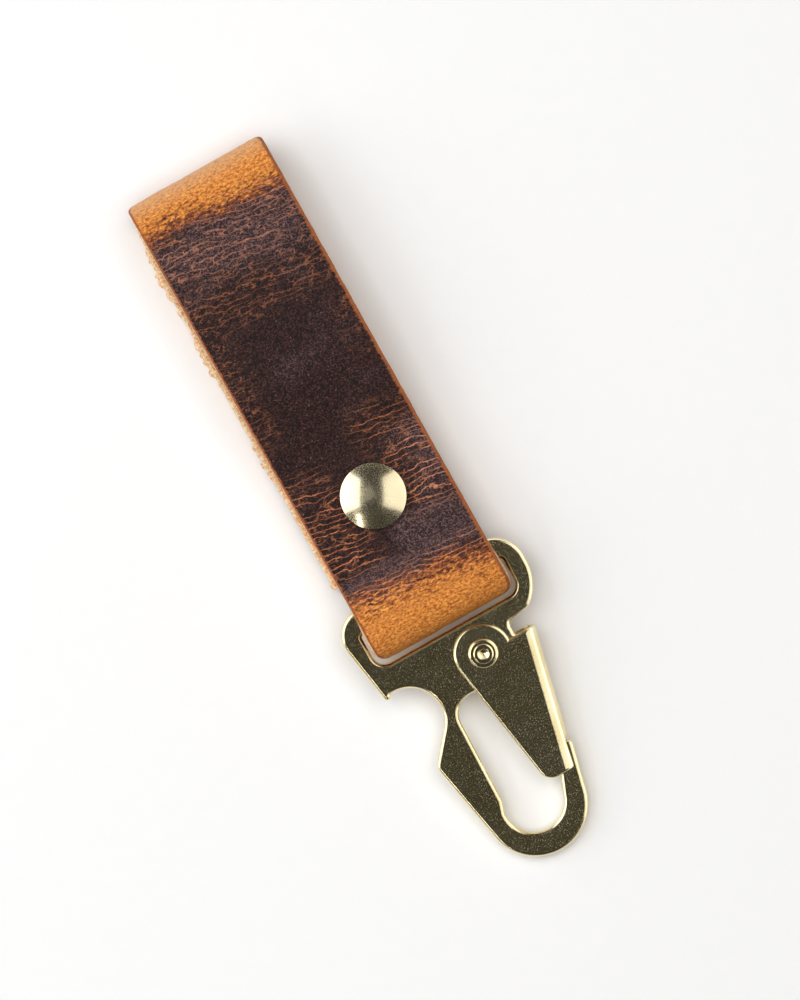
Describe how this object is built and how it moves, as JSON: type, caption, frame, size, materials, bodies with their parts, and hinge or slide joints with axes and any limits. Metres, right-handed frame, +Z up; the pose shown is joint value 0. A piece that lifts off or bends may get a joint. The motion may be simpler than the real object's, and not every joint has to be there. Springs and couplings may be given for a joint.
{
  "type": "belt key clip",
  "caption": "Leather strap folded into a belt loop and closed by a domed rivet, carrying a flat brass key hook with a bottle-opener notch and a sprung folded gate.",
  "frame": {"origin": "on the table under the middle of the whole clip as it lies on its back", "axes": "+Y along the strap towards the belt loop, +X across the strap to the right seen from the front, +Z up out of the front face"},
  "size_m": [0.0334, 0.1278, 0.0118],
  "materials": {
    "leather": "waxed pull-up, worn lighter at the folds",
    "rivet_brass": "polished",
    "clip_brass": "polished plating",
    "gate_brass": "polished plating",
    "pivot_brass": "polished",
    "spring_wire": "drawn wire"
  },
  "bodies": {
    "strap": {"leather_strap": "leather", "strap_rivet_cap": "rivet_brass", "strap_rivet_post": "rivet_brass"},
    "clip": {"clip_plate": "clip_brass", "gate_rivet": "pivot_brass", "gate_spring": "spring_wire"},
    "gate": {"gate": "gate_brass"}
  },
  "joints": [
    {"name": "clip_swing", "type": "hinge", "parent": "strap", "child": "clip", "pos_m": [0, -0.01461, 0.00658], "axis": [1, 0, 0], "range_deg": [-145, 115]},
    {"name": "gate_pivot", "type": "hinge", "parent": "clip", "child": "gate", "pos_m": [0.00291, -0.02888, 0.00501], "axis": [0, -0.109, 0.994], "range_deg": [-35, 0], "stiffness_Nm_per_rad": 0.02, "springref_deg": 17.19, "deforming": ["gate_spring"]}
  ]
}
